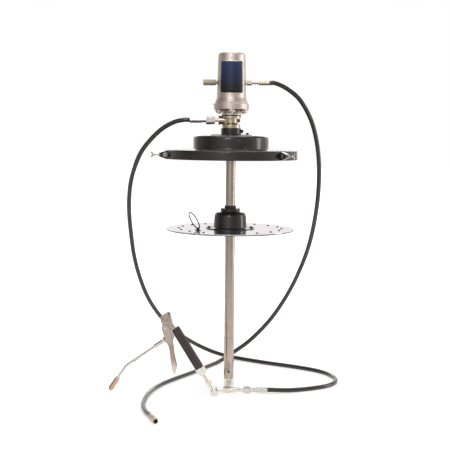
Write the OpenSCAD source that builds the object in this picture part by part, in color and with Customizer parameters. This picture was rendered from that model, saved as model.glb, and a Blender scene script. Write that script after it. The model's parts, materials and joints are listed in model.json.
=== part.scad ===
// Air-operated grease pump for an open drum, with its drum cover, follower plate, two hoses
// and a lever gun. The origin is the centre of the drum's mouth, where the cover's seal rests
// on the rim. +Z is up and the lever gun stands on the -Y side, which is the front.

/* [Drum cover] */
// Radius over the rim of the cover
cover_r = 184; // [180:1:190]
// Thickness of the cover's sheet steel
cover_t = 1.6; // [1.2:0.1:2.4]
// How far the skirt hangs below the drum's mouth
skirt_drop = 20; // [18:1:26]
// Outer radius of the bend between the flat ring and the skirt
rim_round = 5; // [4:0.5:8]
// Thickness of the rubber seal under the flat ring
seal_t = 4; // [3:0.5:6]
// Width of the rubber seal
seal_w = 9; // [6:1:12]
// Radius of the raised dome
dome_r = 104; // [90:1:120]
// Height of the dome above the flat ring
dome_h = 39.4; // [30:0.2:48]
// Outer radius of the bend at the dome's shoulder
dome_round = 9; // [6:0.5:12]
// Radius of the hollow bend at the dome's foot
dome_foot_round = 5; // [4:0.5:14]
// Radius of the low pressed boss in the middle of the dome
boss_r = 62; // [50:1:76]
// Height of that boss
boss_h = 3; // [2:0.5:5]
// Radius of the bung adapter that grips the pump tube
adapter_r = 28; // [25:0.5:32]
// Height of the adapter above the boss
adapter_h = 17.5; // [14:0.5:22]

/* [Clamp screws] */
// Height of the V-shaped bracket welded to the skirt
bracket_h = 22; // [18:1:23]
// How far the bracket's nose stands out from the skirt
bracket_reach = 19; // [14:1:24]
// Width of the bracket along the rim
bracket_w = 15; // [10:1:20]
// Thickness of the bracket's strap
bracket_t = 2.4; // [1.6:0.2:3.2]
// Radius of the clamp screw's rod
clamp_rod_r = 2; // [1.5:0.1:2.6]
// Length of the rod from its pad to its wing head
clamp_rod_l = 45; // [44:1:60]
// Length of each wing, outwards from the rod
wing_l = 7; // [6:0.5:14]
// How far a wing's end stands off the rod's axis
wing_rise = 5; // [4.5:0.5:11]

/* [Air motor] */
// Outer radius of the air cylinder at its foot
motor_r = 40.4; // [39:0.2:43]
// Outer radius of the air cylinder at its top
motor_top_r = 37.2; // [36:0.2:39]
// Height of the air cylinder
motor_h = 136.5; // [130:0.5:142]
// Radius of the bore that the air piston runs in
motor_bore_r = 33; // [32:0.2:33.4]
// Stroke of the air piston
stroke = 50; // [36:1:50]
// Radius over the bolt lobes of the motor base
base_r = 48.5; // [47:0.5:52]
// Height of the motor base above the packing nut
base_h = 27; // [25:0.5:30]
// Number of bolts that hold the cylinder down on the base
base_bolts = 6; // [4:1:8]
// Height of the air ports above the base
port_rise = 56; // [55:0.5:59]
// Radius of the exhaust muffler
muffler_r = 8; // [6:0.5:10]
// Length of the exhaust muffler
muffler_l = 35; // [25:1:45]

/* [Outlet housing] */
// Height of the outlet housing
housing_h = 33.2; // [31:0.2:38]
// Radius of its lower flange
housing_foot_r = 25; // [22:0.5:27]
// Radius of its waist
housing_waist_r = 17; // [16:0.5:19]
// Radius of its upper flange and of the packing nut above it
housing_head_r = 27; // [24:0.5:29]
// Distance of the grease outlet's face from the pump's axis
outlet_reach = 35; // [32:0.5:40]
// Height of the outlet's axis above the housing's foot
outlet_rise = 21.5; // [20:0.5:22.5]
// Radius of the outlet boss
outlet_r = 11.5; // [10:0.5:12]

/* [Pump tube] */
// Outer radius of the pump tube
tube_r = 13.35; // [13:0.05:14]
// Inner radius of the pump tube
tube_bore_r = 10.5; // [10:0.1:11]
// Length of the upper tube
tube_l = 462; // [440:1:480]
// Length of the pump cylinder below it
cylinder_l = 137; // [125:1:150]
// Length of the foot valve's sleeve
sleeve_l = 118; // [112:1:130]
// Length of the bright nose at the foot
nose_l = 31; // [26:1:40]
// Outer radius of the sleeve and the nose
foot_r = 13.9; // [13.6:0.1:14.6]
// Width of the intake slots in the sleeve
slot_w = 6; // [4:0.5:8]
// Length of the intake slots
slot_l = 31; // [20:1:36]

/* [Follower] */
// Radius of the follower plate
follower_r = 178; // [170:1:179]
// Thickness of the follower plate
follower_t = 2.4; // [2:0.1:3]
// Depth of the plate's top below the drum's mouth
follower_drop = 212.6; // [205:0.2:225]
// Number of rivets round the plate
rivet_count = 18; // [12:1:24]
// Radius of the rivets' circle
rivet_circle_r = 143; // [136:1:150]
// Radius of the rubber bell's foot
bell_r = 46; // [42:0.5:50]
// Radius of the bell at its shoulder
bell_top_r = 43; // [40:0.5:44]
// Height of the bell
bell_h = 48; // [44:0.2:56]
// Radius of the flange that bolts the bell down
hub_flange_r = 68; // [65:0.5:74]
// Radius of the pull ring's wire bend, measured at its middle
pull_ring_r = 25; // [20:0.5:30]
// Radius of the pull ring's wire
pull_wire_r = 1.5; // [1.2:0.1:2]

/* [Hoses] */
// Radius of both hoses
hose_r = 6.3; // [5:0.1:7]

/* [Lever gun] */
// Radius of the rubber grip
grip_r = 12.5; // [11.5:0.1:12.6]
// Length of the rubber grip
grip_l = 129; // [120:0.1:130]
// Radius of the tube inside the grip
handle_r = 8; // [7:0.1:8.5]
// Radius of the swivel's round boss
swivel_r = 10; // [9:0.1:12]
// Width of the lever
lever_w = 22; // [21:0.2:24]
// Thickness of the lever's sheet
lever_t = 2.4; // [1.8:0.1:3]
// Radius of the delivery tube
extension_r = 3.4; // [3:0.1:4]
// Length of the delivery tube before its bend
extension_l = 120; // [100:1:140]
// Length of the delivery tube after its bend
extension_tip_l = 33; // [25:1:45]
// Radius of the knurled sleeve of the coupler
coupler_r = 7; // [6.6:0.1:8]
// Length of the coupler
coupler_l = 41; // [36:1:48]

/* [Hidden] */
$fn = 64;

// Space between neighbours that do not touch, running clearance, and overrun of every cut
gap = 0.3;
fit = 0.05;
cut = 1;

// Heights of the stack, from the drum's mouth up
z_flat = seal_t + cover_t;
z_dome = z_flat + dome_h;
z_boss = z_dome + boss_h;
z_adapter = z_boss + adapter_h;
z_outlet = z_adapter + outlet_rise;
z_housing = z_adapter + housing_h;
packing_t = 2.3;
z_packing = z_housing + packing_t;
packing_nut_h = 6;
z_nut = z_packing + packing_nut_h;
z_base = z_nut + base_h;
z_motor_top = z_base + motor_h;
z_port = z_base + port_rise;

// Heights of the pump tube, from its socket in the housing down
tube_socket = 12.5;
z_tube_top = z_adapter + tube_socket;
z_cylinder = z_tube_top - tube_l;
z_sleeve = z_cylinder - cylinder_l;
z_nose = z_sleeve - sleeve_l;
z_foot = z_nose - nose_l;

// The bung fitting in the cover and the adapter's thread in it
bung_r = 26;
bung_ring_r = 34;
bung_depth = 11;
boss_slope = 4;
adapter_chamfer = 1.5;
adapter_groove = 1.2;

// The clamp screws stand at these angles round the rim, and their axes lie this far down
clamp_angles = [-43, -163, 77];
bracket_lift = 1;
clamp_drop = skirt_drop - bracket_h / 2 - bracket_lift;
bracket_nose = 5;
pad_r = 4.5;
pad_t = 2.4;
pad_inset = 3.5;
wing_hub_r = 3.6;
wing_hub_l = 6;
wing_t = 2.6;
wing_root = 3;

// Seal, plugs and screws of the cover and the adapter
seal_inset = 1;
vent_r = 4;
vent_h = 5;
vent_x = 45;
set_screw_r = 4;
set_screw_out = 6;
set_screw_in = 9;
set_screw_angle = -14;

// Motor base: a cup whose floor carries the rod's bore, with lobes for the bolts
base_neck_r = 24;
base_neck_h = 5;
base_floor_h = 11;
base_lip_r = 48;
base_round = 3;
base_lobe_r = 9.5;
base_lobe_drop = 4;
base_skirt_h = 21;
bolt_circle_r = base_r - base_lobe_r - 1.4 * fit;
bolt_r = 2.5;
bolt_head_r = 4.3;
bolt_head_h = 3.4;
bolt_bite = 7;
socket_r = 2.6;
socket_depth = 2;
lug_r = 2.6;
lug_l = 6.5;
lug_rise = 23.5;

// Motor cylinder
flange_r = 44.8;
flange_t = 3;
flare_h = 10;
crown_round = 6;
crown_t = 6.5;
valve_seat_r = 30;
crown_plug_r = 6;
crown_plug_h = 2.2;
port_r = 6.6;

// Air piston, its valve and its rod, at the bottom of the stroke
z_chamber = z_nut + base_floor_h;
piston_lift = 2.3;
piston_h = 12;
z_piston = z_chamber + piston_lift;
seal_groove_depth = 3.2;
piston_seal_h = 4;
rod_r = 6;
rod_neck_r = 4;
rod_neck_drop = 23;
trip_r = 2.5;
trip_collar_r = 5;
trip_collar_h = 1.4;
trip_head_r = 4;
trip_head_h = 2;
valve_block_h = 23.4;
z_valve = z_piston + piston_h + stroke + cut;
spool_r = 7;
spool_l = 20;
spool_travel = 6;
spool_groove = 1.5;
z_trip_head = z_valve + spool_l + spool_travel + 2 * gap;
z_crown_bore = max(z_motor_top - crown_t, z_trip_head + trip_head_h + stroke + gap);

// Pump piston, check plates and priming rod, at the bottom of the stroke
pump_piston_h = 35;
pump_piston_rise = 21;
z_pump_piston = z_sleeve + pump_piston_rise;
web_t = 6;
crown_web_t = 5;
check_r = 7;
check_t = 1.6;
check_lift = 3;
piston_port_r = 1.6;
piston_port_circle = 4.8;
prime_r = 3.2;
prime_disc_t = 3;
prime_disc_rise = 6;
foot_seat_drop = 35;
foot_seat_t = 10;
foot_seat_r = 6;
foot_check_r = 9.5;
foot_check_t = 3.5;
slot_drop = 69;
joint_groove = 0.6;
joint_groove_h = 2;

// Outlet housing
housing_bore_r = 9;
housing_flange_h = 10;
housing_head_h = 6;
outlet_bore_r = 4;
outlet_collar_r = 12.5;
outlet_collar_l = 5;
outlet_thread_r = 6;
outlet_thread_l = 10;
bleed_r = 4.6;
bleed_l = 13;
bleed_in = 13;
bleed_tilt = 78;
bleed_drop = 5;

// Hose fittings: nipples, swivel nuts, stems and ferrules
nipple_r = 4.5;
nipple_neck = 10;
jam_af = 19;
jam_h = 6;
thread_r = 6.5;
thread_l = 9;
nut_af = 20.5;
nut_l = 18;
nut_chamfer = 1.4;
stem_r = 4.5;
collar_r = 6.5;
collar_l = 11;
ferrule_r = 8;
ferrule_l = 31;
air_nipple_r = 6;
air_nipple_out = 2.6;
air_thread_r = 4.6;
air_thread_l = 7;
air_nut_af = 13.2;
air_nut_l = 12.5;
air_stem_r = 4.3;
air_stem_l = 20;
air_ferrule_r = 6.9;
air_ferrule_l = 29;
crimp_depth = 0.5;
crimp_w = 2;

// Follower, below the drum's mouth
z_plate = -follower_drop;
z_plate_foot = z_plate - follower_t;
wiper_t = 2;
wiper_w = 44;
wiper_lap = 9;
wiper_inner_r = min(follower_r - wiper_w, rivet_circle_r - wiper_lap);
wiper_ring_t = 1.8;
wiper_ring_w = 5;
rivet_r = 2;
rivet_head_r = 3.4;
rivet_head_h = 1.6;
hub_flange_t = 2;
bell_round = 14;
bell_wall = 6;
step_r = 27;
step_h = 8.6;
neck_r = 16;
neck_h = 7.5;
hub_gap = 0.35;
hub_bolt_circle_r = 59;
hub_bolt_count = 4;
hub_bolt_r = 2.5;
hub_bolt_head = 7.5;
hub_bolt_head_h = 3.4;
hub_seal_r = 31;
hub_seal_t = 4.5;
seal_lip = 2;

// Pull ring: where its eye stands on the plate, how its axle lies and how far it leans
eye_x = -88;
eye_y = -64;
eye_turn = -65;
ring_lean = 27;
eye_w = 6;
eye_r = 3.4;
eye_foot_l = 20;
eye_foot_w = 9;
eye_foot_t = 1.5;
axle_half = 5;

// Hose routes: from the pump to the gun, and from the motor to the air supply
grease_route = [[-114, 0, 87], [-132, 0, 87], [-160, 5, 80], [-193, 13, 61], [-226, 25, 30],
    [-253, 39, -5], [-272, 57, -47], [-285, 77, -90], [-292, 99, -138], [-294, 122, -187],
    [-292, 149, -242], [-286, 178, -311], [-273, 207, -378], [-253, 234, -441],
    [-227, 261, -494], [-195, 286, -539], [-157, 309, -578], [-117, 327, -608],
    [-76, 341, -632], [-34, 349, -650], [6, 349, -660], [44, 335, -663.7],
    [81, 310, -663.7], [118, 286, -663.7], [155, 265, -663.7], [191, 245, -663.7],
    [227, 223, -663.7], [261, 198, -663.7], [289, 168, -663.7], [307, 132, -663.7],
    [314, 96, -663.7], [310, 62, -663.7], [296, 34, -663.7], [272, 10, -663.7],
    [240, -9, -663.7], [207, -24, -663.7], [172, -36, -663], [140, -44, -661],
    [122, -46, -660], [108, -46, -660]];
air_route = [[104, 0, 190], [119, 0, 190], [142, 2, 181], [165, 5, 167], [188, 11, 147],
    [209, 19, 117], [227, 30, 80], [240, 42, 36], [249, 58, -16], [253, 77, -70],
    [253, 99, -130], [249, 122, -186], [242, 147, -242], [231, 172, -296], [214, 198, -352],
    [192, 226, -410], [164, 251, -467], [132, 273, -520], [96, 291, -566], [60, 302, -603],
    [25, 306, -630], [-6, 300, -650], [-32, 282, -662], [-52, 253, -663.7],
    [-74, 214, -663.7], [-98, 173, -663.7], [-123, 132, -663.7], [-148, 93, -663.7],
    [-172, 54, -663.7], [-193, 13, -663.7], [-210, -34, -663.7], [-221, -87, -663.7],
    [-226, -143, -663.7], [-225, -200, -663.7], [-214, -252, -663], [-202, -284, -662],
    [-196.5, -299.5, -662]];
hose_sides = 8;

// Fitting on the supply end of the air hose
end_ferrule_r = 7;
end_ferrule_l = 20;
end_hex_af = 14;
end_hex_l = 14;
end_mouth_r = 7.2;
end_mouth_l = 10;
end_bore_r = 5.7;
end_bore_l = 12;

// Lever gun: where its swivel stands, its lean, and its places up the handle and forwards
inline_y = -46;
inline_z = -660;
swivel_x = -40;
gun_y = -70;
gun_lean = -31.5;
swivel_boss_l = 25;
swivel_pin_r = 5;
swivel_knuckle_r = 9.5;
inline_end_x = 108;
inline_ferrule_l = 31;
inline_stem_l = 17;
inline_nut_l = 18;
inline_nut_af = 16.5;
inline_ring_l = 6;
inline_band_r = 6;
inline_band_l = 8;
inline_core_r = 3.5;
inline_body_r = 7.2;
inline_body_l = 23;
inline_dome_af = 17;
inline_dome_l = 20;
stem_tube_r = 6.3;
stem_top = 57;
stem_hex_af = 14.5;
stem_hex_u = 24;
stem_hex_l = 13;
grip_u = 79.3;
grip_nut_af = 24;
grip_nut_l = 15;
grip_nut_low_af = 19;
grip_top = grip_u + grip_l;
grip_round = 4;
grip_ridges = 20;
grip_ridge_r = 0.8;
spigot_r = 3.5;
spigot_v = 4.3;
spigot_l = 11;
handle_top = grip_top - grip_round;

// Valve body outlines, forwards from the swivel and up from the head's top, with corner radii
head_w = 22;
snout_w = 16;
head_back = 9.5;
head_l = 47.7;
head_top = grip_top + head_l;
head_foot = gap - head_l;
head_outline = [[-0.5, head_foot, 0.5], [-0.5, -34, 6], [-head_back, -8, 1], [-3.5, 0, 1],
    [19, 0, 7], [23.5, -16, 3], [23, -20.5, 1], [10, -20.5, 1], [10, head_foot, 1]];
snout_outline = [[8, head_foot, 0.5], [8, -18, 0.5], [23, -18, 3], [27, -34, 3], [27, -51, 1],
    [31, -53, 1], [31, -70, 4], [14.5, -70, 3], [14.5, head_foot, 0.5]];
rib_count = 5;
rib_pitch = 4;
rib_w = 1.6;
rib_depth = 0.8;
rib_drop = 18;
rib_u = head_top - rib_drop;
plug_drop = 4;
plug_u = head_top - plug_drop;
plug_v = -6.5;
plug_tilt = atan2(8, 6);
plug_r = 4;
plug_out = 2.6;
plug_in = 6;

// Valve stem, its spring and the lever's pivot
stem_drop = 43;
stem_u = head_top - stem_drop;
stem_tip = 32.3;
stem_tail = 12;
stem_pin_r = 2.5;
stem_tail_r = 1.5;
stem_collar = 20;
stem_collar_r = 3.4;
stem_collar_t = 1.9;
spring_seat = 9.4;
spring_r = 2.7;
spring_wire_r = 0.45;
spring_l = 10.5;
spring_turns = 6;
pivot_v = 22;
pivot_drop = 34;
pivot_u = head_top - pivot_drop;
pivot_r = 2.4;
pivot_head_r = 3.6;
pivot_head_t = 1.6;

// Lever outline, as the valve body's are given, and the slot and notch cut in its web
lever_outline = [[13, -42, 5], [13, -25, 6], [29, -23, 6], [35, -42, 30], [39, -66, 30],
    [41, -85, 25], [55, -116, 40], [66, -141, 12], [67.5, -158, 0.8], [51.5, -144, 12],
    [40, -110, 40], [24, -75, 30]];
lever_slot_drop = 78;
lever_slot_l = 30;
lever_web_drop = 31;
lever_slot_w = snout_w + 2 * gap;

// Delivery tube and coupler
outlet_v = 44;
outlet_drop = 62;
outlet_u = head_top - outlet_drop;
outlet_boss_r = 8;
outlet_tilt = 3;
ext_nut_af = 10.5;
ext_nut_from = 3;
ext_nut_l = 28;
bend_r = 35;
bend_angle = 22;
coupler_core_r = 5.2;
coupler_nut_af = 10.6;
coupler_nut_l = 6;
coupler_nose_l = 3.5;
coupler_nose_r = 6;
coupler_mouth_r = 3.4;
coupler_mouth_l = 12;
knurl_count = 24;
knurl_r = 0.5;

// Direction of a vector, and one without its height
function unit(v) = v / norm(v);
function flat(p) = [p[0], p[1]];

// A closed outline whose corners are rounded: each point is [x, y, corner radius]
function corner(p, a, b, steps = 5) =
    let (u = unit(flat(a) - flat(p)), v = unit(flat(b) - flat(p)), half = acos(u * v) / 2,
        c = flat(p) + unit(u + v) * p[2] / sin(half), s = flat(p) + u * p[2] / tan(half) - c,
        e = flat(p) + v * p[2] / tan(half) - c, from = atan2(s[1], s[0]),
        turn = (atan2(e[1], e[0]) - from + 540) % 360 - 180)
    [for (i = [0 : steps])
        c + p[2] * [cos(from + turn * i / steps), sin(from + turn * i / steps)]];
function rounded(pts) = [for (i = [0 : len(pts) - 1])
    let (n = len(pts), p = pts[i])
    each p[2] > 0 ? corner(p, pts[(i + n - 1) % n], pts[(i + 1) % n]) : [flat(p)]];

// Outline given from the top of the gun's head, moved up to it
function from_top(pts) = [for (p = pts) [p[0], head_top + p[1], p[2]]];

// Tube swept along a route: directions at the points, a side vector carried along, and rings
function headings(p) = [for (i = [0 : len(p) - 1])
    unit(p[min(i + 1, len(p) - 1)] - p[max(i - 1, 0)])];
function carried(t, side, i = 0) = i == len(t) ? [] :
    let (s = unit(side - (side * t[i]) * t[i])) concat([s], carried(t, s, i + 1));
function ring(c, t, s, r, n) = [for (k = [0 : n - 1])
    c + r * (cos(360 * k / n) * s + sin(360 * k / n) * cross(t, s))];
module swept(p, r, n) {
    t = headings(p);
    s = carried(t, abs(t[0][2]) < 0.9 ? [0, 0, 1] : [0, 1, 0]);
    last = n * (len(p) - 1);
    polyhedron(
        points = [for (i = [0 : len(p) - 1]) each ring(p[i], t[i], s[i], r, n)],
        faces = [
            for (i = [0 : len(p) - 2]) for (k = [0 : n - 1]) let (a = i * n + k,
                b = i * n + (k + 1) % n)
                each [[a, a + n, b], [b, a + n, b + n]],
            for (k = [1 : n - 2]) [0, k, k + 1],
            for (k = [1 : n - 2]) [last, last + k + 1, last + k]]);
}

// Common shapes: turned body, hexagon nut with turned corners, row of grooves round a rod
module turned(pts) {
    rotate_extrude() polygon(rounded(pts));
}
module hexagon(af, h, chamfer = nut_chamfer) {
    r = af / sqrt(3);
    intersection() {
        cylinder(r = r, h = h, $fn = 6);
        rotate_extrude() polygon([[0, 0], [r - chamfer, 0], [r, chamfer / 2],
            [r, h - chamfer / 2], [r - chamfer, h], [0, h]]);
    }
}
module crimped(r, l) {
    difference() {
        turned([[0, 0, 0], [r, 0, crimp_depth], [r, l, crimp_depth], [0, l, 0]]);
        for (z = [l / 4, l / 2, 3 * l / 4]) translate([0, 0, z - crimp_w / 2])
            difference() {
                cylinder(r = r + cut, h = crimp_w);
                translate([0, 0, -cut]) cylinder(r = r - crimp_depth, h = crimp_w + 2 * cut);
            }
    }
}
module around(count, from = 0) {
    for (i = [0 : count - 1]) rotate([0, 0, from + 360 * i / count]) children();
}
module along_x(x, z) {
    translate([x, 0, z]) rotate([0, 90, 0]) children();
}
module against_x(x, z) {
    translate([x, 0, z]) rotate([0, -90, 0]) children();
}

// Sheet-steel cover: skirt, flat ring, dome and boss, with welded bung ring and V brackets
module bracket() {
    root = cover_r - cover_t / 2;
    nose = cover_r + bracket_reach;
    half = bracket_h / 2;
    rotate([90, 0, 0]) linear_extrude(height = bracket_w, center = true)
        polygon([[root, half], [root + bracket_t, half], [nose, bracket_nose],
            [nose, -bracket_nose], [root + bracket_t, -half], [root, -half],
            [root, bracket_t - half], [nose - 2 * bracket_t, 0], [root, half - bracket_t]]);
}
module drum_cover() {
    color("#242122") difference() {
        union() {
            turned([[bung_r + gap, z_boss, 0], [boss_r, z_boss, boss_h],
                [boss_r + boss_slope, z_dome, boss_h / 2], [dome_r, z_dome, dome_round],
                [dome_r, z_flat, dome_foot_round], [cover_r, z_flat, rim_round],
                [cover_r, -skirt_drop, 0], [cover_r - cover_t, -skirt_drop, 0],
                [cover_r - cover_t, seal_t, rim_round - cover_t],
                [dome_r - cover_t, seal_t, dome_foot_round + cover_t],
                [dome_r - cover_t, z_dome - cover_t, dome_round - cover_t],
                [bung_ring_r, z_dome - cover_t, 0], [bung_ring_r, z_boss - bung_depth, 1],
                [bung_r + gap, z_boss - bung_depth, 0]]);
            for (a = clamp_angles) rotate([0, 0, a]) translate([0, 0, -clamp_drop]) bracket();
        }
        for (a = clamp_angles) rotate([0, 0, a]) along_x(cover_r - 2 * cover_t, -clamp_drop)
            cylinder(r = clamp_rod_r + gap, h = bracket_reach + 3 * cover_t + cut, $fn = 32);
        translate([vent_x, 0, z_dome - 2 * cover_t]) cylinder(r = vent_r / 2 + gap, h = 4 * boss_h);
    }
}
module cover_gasket() {
    outer = cover_r - rim_round - seal_inset;
    color("#2b2b2d") difference() {
        cylinder(r = outer, h = seal_t);
        translate([0, 0, -cut]) cylinder(r = outer - seal_w, h = seal_t + 2 * cut);
    }
}
module vent_plug() {
    color("#3a3a3c") translate([vent_x, 0, z_boss]) {
        hexagon(vent_r * sqrt(3), vent_h);
        translate([0, 0, -boss_h]) cylinder(r = vent_r / 2, h = boss_h + vent_h / 2);
    }
}
module bung_adapter() {
    color("#1d1c1e") difference() {
        union() {
            translate([0, 0, z_boss]) turned([[0, 0, 0], [adapter_r, 0, adapter_chamfer],
                [adapter_r, adapter_h, adapter_chamfer], [0, adapter_h, 0]]);
            translate([0, 0, z_boss - bung_depth]) cylinder(r = bung_r, h = bung_depth + cut);
        }
        translate([0, 0, z_boss - bung_depth - cut])
            cylinder(r = tube_r + gap, h = bung_depth + adapter_h + 2 * cut);
        rotate([0, 0, set_screw_angle]) along_x(tube_r, z_boss + adapter_h / 2)
            cylinder(r = set_screw_r / 2 + gap, h = adapter_r, $fn = 32);
        rotate([0, 0, set_screw_angle + 90]) translate([0, 0, z_boss + adapter_h / 4])
            rotate([90, 0, 0]) for (s = [-1, 1]) translate([s * adapter_r, 0, -adapter_groove])
                cylinder(r = adapter_groove, h = adapter_groove * 2, $fn = 32);
    }
}
module adapter_screw() {
    color("#8f9092") rotate([0, 0, set_screw_angle]) {
        along_x(adapter_r + gap / 2, z_boss + adapter_h / 2) hexagon(set_screw_r * 2, set_screw_out);
        along_x(adapter_r - set_screw_in, z_boss + adapter_h / 2)
            cylinder(r = set_screw_r / 2, h = set_screw_in + set_screw_out / 2, $fn = 32);
    }
}

// Wing screw that clamps the cover to the drum: pad inside the skirt, rod and two wings
module clamp_screw(a) {
    color("#b9b9b4") rotate([0, 0, a])
        along_x(cover_r - cover_t - pad_inset - pad_t, -clamp_drop) {
            cylinder(r = pad_r, h = pad_t, $fn = 32);
            cylinder(r = clamp_rod_r, h = clamp_rod_l, $fn = 32);
            translate([0, 0, clamp_rod_l - wing_hub_l])
                turned([[0, 0, 0], [clamp_rod_r, 0, 0], [wing_hub_r, wing_hub_l / 2, 1],
                    [wing_hub_r, wing_hub_l, 1], [0, wing_hub_l, 0]]);
            for (s = [0, 1]) mirror([s, 0, 0]) translate([0, 0, clamp_rod_l])
                rotate([90, 0, 0]) linear_extrude(height = wing_t, center = true)
                    polygon(rounded([[0, -wing_root, 0], [wing_hub_r, -wing_root, 0],
                        [wing_rise + wing_t, wing_l - wing_hub_l / 2, wing_t / 2],
                        [wing_rise + wing_t / 2, wing_l - wing_root / 2, wing_t / 2],
                        [wing_rise - wing_t, wing_l - wing_root, wing_t / 2], [0, 0, 0]]));
        }
}

// Outlet housing with its grease outlet on the left, bleed plug on the right
module bleed_frame() {
    translate([0, 0, z_outlet - bleed_drop]) rotate([0, bleed_tilt, 0]) children();
}
module throat_housing() {
    color("#c8b98d") difference() {
        union() {
            translate([0, 0, z_adapter]) turned([[0, 0, 0], [housing_foot_r, 0, 1.5 * gap],
                [housing_foot_r, housing_flange_h, housing_flange_h / 3],
                [housing_waist_r, housing_flange_h + tube_socket / 4, housing_flange_h / 4],
                [housing_waist_r, housing_h - housing_head_h - gap, gap],
                [housing_head_r, housing_h - housing_head_h, gap],
                [housing_head_r, housing_h, gap], [0, housing_h, 0]]);
            against_x(0, z_outlet) turned([[0, 0, 0], [outlet_r, 0, 0],
                [outlet_r, outlet_reach - outlet_collar_l, gap],
                [outlet_collar_r, outlet_reach - outlet_collar_l, gap],
                [outlet_collar_r, outlet_reach, gap], [0, outlet_reach, 0]]);
            bleed_frame() cylinder(r = bleed_r + cover_t, h = bleed_in + outlet_collar_l);
        }
        translate([0, 0, z_adapter - cut])
            cylinder(r = housing_bore_r, h = housing_h + 2 * cut);
        translate([0, 0, z_adapter - cut]) cylinder(r = tube_r + fit, h = tube_socket + cut);
        against_x(0, z_outlet) cylinder(r = outlet_bore_r, h = outlet_reach);
        against_x(outlet_thread_l - outlet_reach, z_outlet)
            cylinder(r = outlet_thread_r + fit, h = outlet_thread_l + cut);
        bleed_frame() cylinder(r = bleed_r / 2 + fit, h = bleed_in + bleed_l);
    }
}
module bleed_plug() {
    color("#222224") bleed_frame() {
        translate([0, 0, bleed_in + outlet_collar_l]) hexagon(bleed_r * sqrt(3), bleed_l / 2);
        translate([0, 0, bleed_in]) cylinder(r = bleed_r / 2, h = outlet_collar_l + cut);
    }
}
module throat_packing() {
    color("#38383a") difference() {
        union() {
            translate([0, 0, z_housing]) cylinder(r = housing_head_r, h = packing_t);
            translate([0, 0, z_housing])
                cylinder(r = 2 * rod_r, h = packing_t + packing_nut_h / 2);
        }
        translate([0, 0, z_housing - cut])
            cylinder(r = rod_r + fit, h = packing_t + packing_nut_h + 2 * cut);
    }
}
module packing_nut() {
    color("#c3c1bc") difference() {
        translate([0, 0, z_packing]) turned([[0, 0, 0], [housing_head_r, 0, 1],
            [housing_head_r, packing_nut_h, 2], [0, packing_nut_h, 0]]);
        translate([0, 0, z_packing - cut])
            cylinder(r = rod_r + gap, h = packing_nut_h + 2 * cut);
        translate([0, 0, z_packing - cut])
            cylinder(r = 2 * rod_r + gap, h = packing_nut_h / 2 + cut);
    }
}

// Grease outlet: nipple with its hexagon, and the loose nut that draws the hose on
module outlet_nipple() {
    color("#6f7074") against_x(outlet_thread_l - outlet_reach, z_outlet) difference() {
        union() {
            cylinder(r = outlet_thread_r, h = outlet_thread_l);
            cylinder(r = nipple_r, h = outlet_thread_l + nipple_neck);
            translate([0, 0, outlet_thread_l + nipple_neck]) hexagon(jam_af, jam_h);
            translate([0, 0, outlet_thread_l + nipple_neck + jam_h])
                cylinder(r = thread_r, h = thread_l);
        }
        translate([0, 0, -cut]) cylinder(r = outlet_bore_r / 2,
            h = outlet_thread_l + nipple_neck + jam_h + thread_l + 2 * cut);
    }
}
module outlet_swivel_nut() {
    from = outlet_reach + nipple_neck + jam_h + gap;
    color("#c9c6bf") against_x(-from, z_outlet) difference() {
        hexagon(nut_af, nut_l);
        translate([0, 0, -cut]) cylinder(r = thread_r + fit, h = thread_l + cut);
        translate([0, 0, -cut]) cylinder(r = stem_r + fit, h = nut_l + 2 * cut);
    }
}

// Motor base: floor, cup and bolt lobes
module base_bolt_places() {
    around(base_bolts, 90) translate([bolt_circle_r, 0, 0]) children();
}
module motor_base() {
    z_lobe = z_nut + base_neck_h - base_lobe_drop;
    color("#b7b2aa") difference() {
        union() {
            translate([0, 0, z_nut]) cylinder(r = base_neck_r, h = base_neck_h);
            translate([0, 0, z_nut + base_neck_h]) turned([[0, 0, 0],
                [base_lip_r - base_neck_h, 0, base_neck_h / 2],
                [base_lip_r, base_neck_h, base_neck_h / 2],
                [base_lip_r, base_h - base_neck_h, base_round], [0, base_h - base_neck_h, 0]]);
            base_bolt_places() translate([0, 0, z_lobe])
                turned([[0, 0, 0], [base_lobe_r, 0, base_lobe_drop / 2],
                    [base_lobe_r, z_base - z_lobe, base_round], [0, z_base - z_lobe, 0]]);
            against_x(base_round - base_lip_r, z_nut + lug_rise)
                cylinder(r1 = lug_r, r2 = lug_r / 3, h = lug_l);
        }
        translate([0, 0, z_chamber]) cylinder(r = motor_bore_r, h = base_h);
        translate([0, 0, z_nut - cut]) cylinder(r = rod_r + gap, h = base_h);
        base_bolt_places() translate([0, 0, z_lobe - cut])
            cylinder(r = bolt_r + gap, h = base_h, $fn = 32);
    }
}
module motor_bolts() {
    z_head = z_nut + base_neck_h - base_lobe_drop - bolt_head_h;
    color("#77777a") base_bolt_places() difference() {
        union() {
            translate([0, 0, z_head]) cylinder(r = bolt_head_r, h = bolt_head_h, $fn = 32);
            translate([0, 0, z_head]) cylinder(r = bolt_r, h = z_base + bolt_bite - z_head, $fn = 32);
        }
        translate([0, 0, z_head - cut]) cylinder(r = socket_r, h = socket_depth + cut, $fn = 6);
    }
}
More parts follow.
